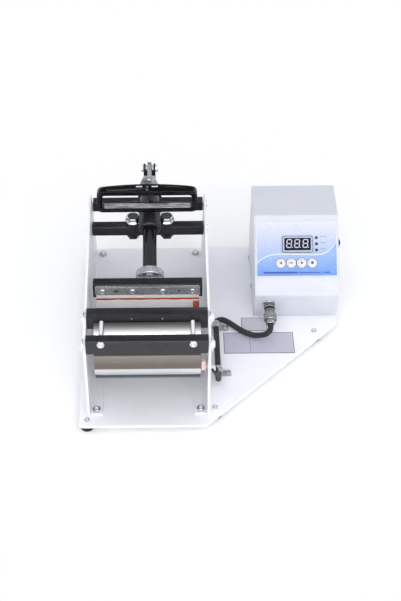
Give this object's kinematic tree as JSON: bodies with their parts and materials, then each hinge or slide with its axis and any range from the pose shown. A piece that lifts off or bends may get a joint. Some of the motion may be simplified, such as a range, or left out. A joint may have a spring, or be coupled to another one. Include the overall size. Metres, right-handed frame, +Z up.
{
  "type": "mug heat press",
  "caption": "Heat press for printing mugs: a mug lies in a heated wrap between two side plates, a toggle lever clamps the jaw, and a control box sets time and temperature.",
  "frame": {"origin": "centre of the bounding box's footprint, on the surface that the feet stand on", "axes": "+X to the control box side, +Y to the rear where the lever pivots, +Z up"},
  "size_m": [0.3146, 0.305, 0.1838],
  "materials": {
    "white_powder_coat": "glossy white powder coat",
    "black_paint": "satin black",
    "stainless_steel": "bright rolled stainless sheet",
    "zinc_plate": "zinc plated",
    "chrome_plate": "bright plated",
    "black_gloss_plastic": "gloss black",
    "black_rubber": "matt black",
    "braided_sleeve": "black braided sleeve",
    "red_silicone": "satin red silicone",
    "coated_cloth": "smooth off-white coated cloth",
    "wire_cover": "off-white wire cover",
    "clear_nylon": "translucent nylon",
    "label_film": "blue to white printed film",
    "pale_plastic": "pale grey",
    "display_window": "dark window",
    "circuit_board": "green board",
    "transformer_core": "varnished core"
  },
  "bodies": {
    "frame": {"base_plate": "white_powder_coat", "left_side_plate": "white_powder_coat", "right_side_plate": "white_powder_coat", "control_box_cover": "white_powder_coat", "control_box_back": "white_powder_coat", "front_clamp_bar": "black_paint", "heater_anchor_bar": "black_paint", "lower_rear_crossbar": "black_paint", "upper_rear_crossbar": "black_paint", "clamp_housing": "black_paint", "heater_shell_front": "stainless_steel", "front_left_clamp_bolt": "chrome_plate", "front_right_clamp_bolt": "chrome_plate", "rear_left_clamp_bolt": "chrome_plate", "rear_right_clamp_bolt": "chrome_plate", "lever_pivot_bolt": "chrome_plate", "left_heater_clamp_screw": "chrome_plate", "right_heater_clamp_screw": "chrome_plate", "connector_socket": "chrome_plate", "heater_plug": "chrome_plate", "switch_frame": "black_gloss_plastic", "power_inlet": "black_gloss_plastic", "fuse_holder": "black_gloss_plastic", "front_left_foot": "black_rubber", "front_foot": "black_rubber", "right_foot": "black_rubber", "rear_right_foot": "black_rubber", "rear_left_foot": "black_rubber", "heater_lead": "braided_sleeve", "heater_mat_front": "red_silicone", "heater_lead_tab": "red_silicone", "heater_liner_front": "coated_cloth", "heater_wires": "wire_cover", "front_cable_clip": "clear_nylon", "rear_cable_clip": "clear_nylon", "panel_label": "label_film", "display_bezel": "pale_plastic", "display_module": "display_window", "control_board": "circuit_board", "power_transformer": "transformer_core"},
    "handle": {"toggle_lever": "zinc_plate", "loop_grip": "black_gloss_plastic"},
    "plunger": {"plunger_tube": "black_paint", "jaw_bar": "black_paint", "jaw_clamp_strip": "zinc_plate", "jaw_socket": "zinc_plate", "heater_shell_rear": "stainless_steel", "heater_mat_rear": "red_silicone", "heater_liner_rear": "coated_cloth", "temperature_sensor_pad": "red_silicone"},
    "pressure_nut": {"pressure_nut": "zinc_plate"},
    "toggle_links": {"left_toggle_link": "black_paint", "right_toggle_link": "black_paint"},
    "power_rocker": {"power_rocker": "black_gloss_plastic"},
    "timer_button": {"timer_button": "pale_plastic"},
    "down_button": {"down_button": "pale_plastic"},
    "up_button": {"up_button": "pale_plastic"},
    "set_button": {"set_button": "pale_plastic"}
  },
  "joints": [
    {"name": "handle_lift", "type": "hinge", "parent": "frame", "child": "handle", "pos_m": [-0.07477, 0.139, 0.15525], "axis": [-1, 0, 0], "range_deg": [0, 110]},
    {"name": "plunger_slide", "type": "slide", "parent": "frame", "child": "plunger", "axis": [0, 0.9578, 0.2874], "range_m": [0, 0.03096]},
    {"name": "link_swing", "type": "hinge", "parent": "plunger", "child": "toggle_links", "pos_m": [-0.07477, 0.07674, 0.13657], "axis": [1, 0, 0], "range_deg": [0, 24.71]},
    {"name": "nut_spin", "type": "hinge", "parent": "plunger", "child": "pressure_nut", "pos_m": [-0.07477, -0.00693, 0.11147], "axis": [0, 0.9578, 0.2874], "continuous": true},
    {"name": "power_switch", "type": "hinge", "parent": "frame", "child": "power_rocker", "pos_m": [0.15133, 0.0695, 0.09], "axis": [0, -1, 0], "range_deg": [0, 18]},
    {"name": "timer_press", "type": "slide", "parent": "frame", "child": "timer_button", "axis": [0, 0.6491, -0.7607], "range_m": [0, 0.0008], "stiffness_N_per_m": 300, "springref_m": -0.001},
    {"name": "down_press", "type": "slide", "parent": "frame", "child": "down_button", "axis": [0, 0.6491, -0.7607], "range_m": [0, 0.0008], "stiffness_N_per_m": 300, "springref_m": -0.001},
    {"name": "up_press", "type": "slide", "parent": "frame", "child": "up_button", "axis": [0, 0.6491, -0.7607], "range_m": [0, 0.0008], "stiffness_N_per_m": 300, "springref_m": -0.001},
    {"name": "set_press", "type": "slide", "parent": "frame", "child": "set_button", "axis": [0, 0.6491, -0.7607], "range_m": [0, 0.0008], "stiffness_N_per_m": 300, "springref_m": -0.001}
  ],
  "couplings": [
    {"joint": "plunger_slide", "follows": "handle_lift", "m_per_rad": 0.016122},
    {"joint": "link_swing", "follows": "handle_lift", "ratio": 0.22442}
  ]
}
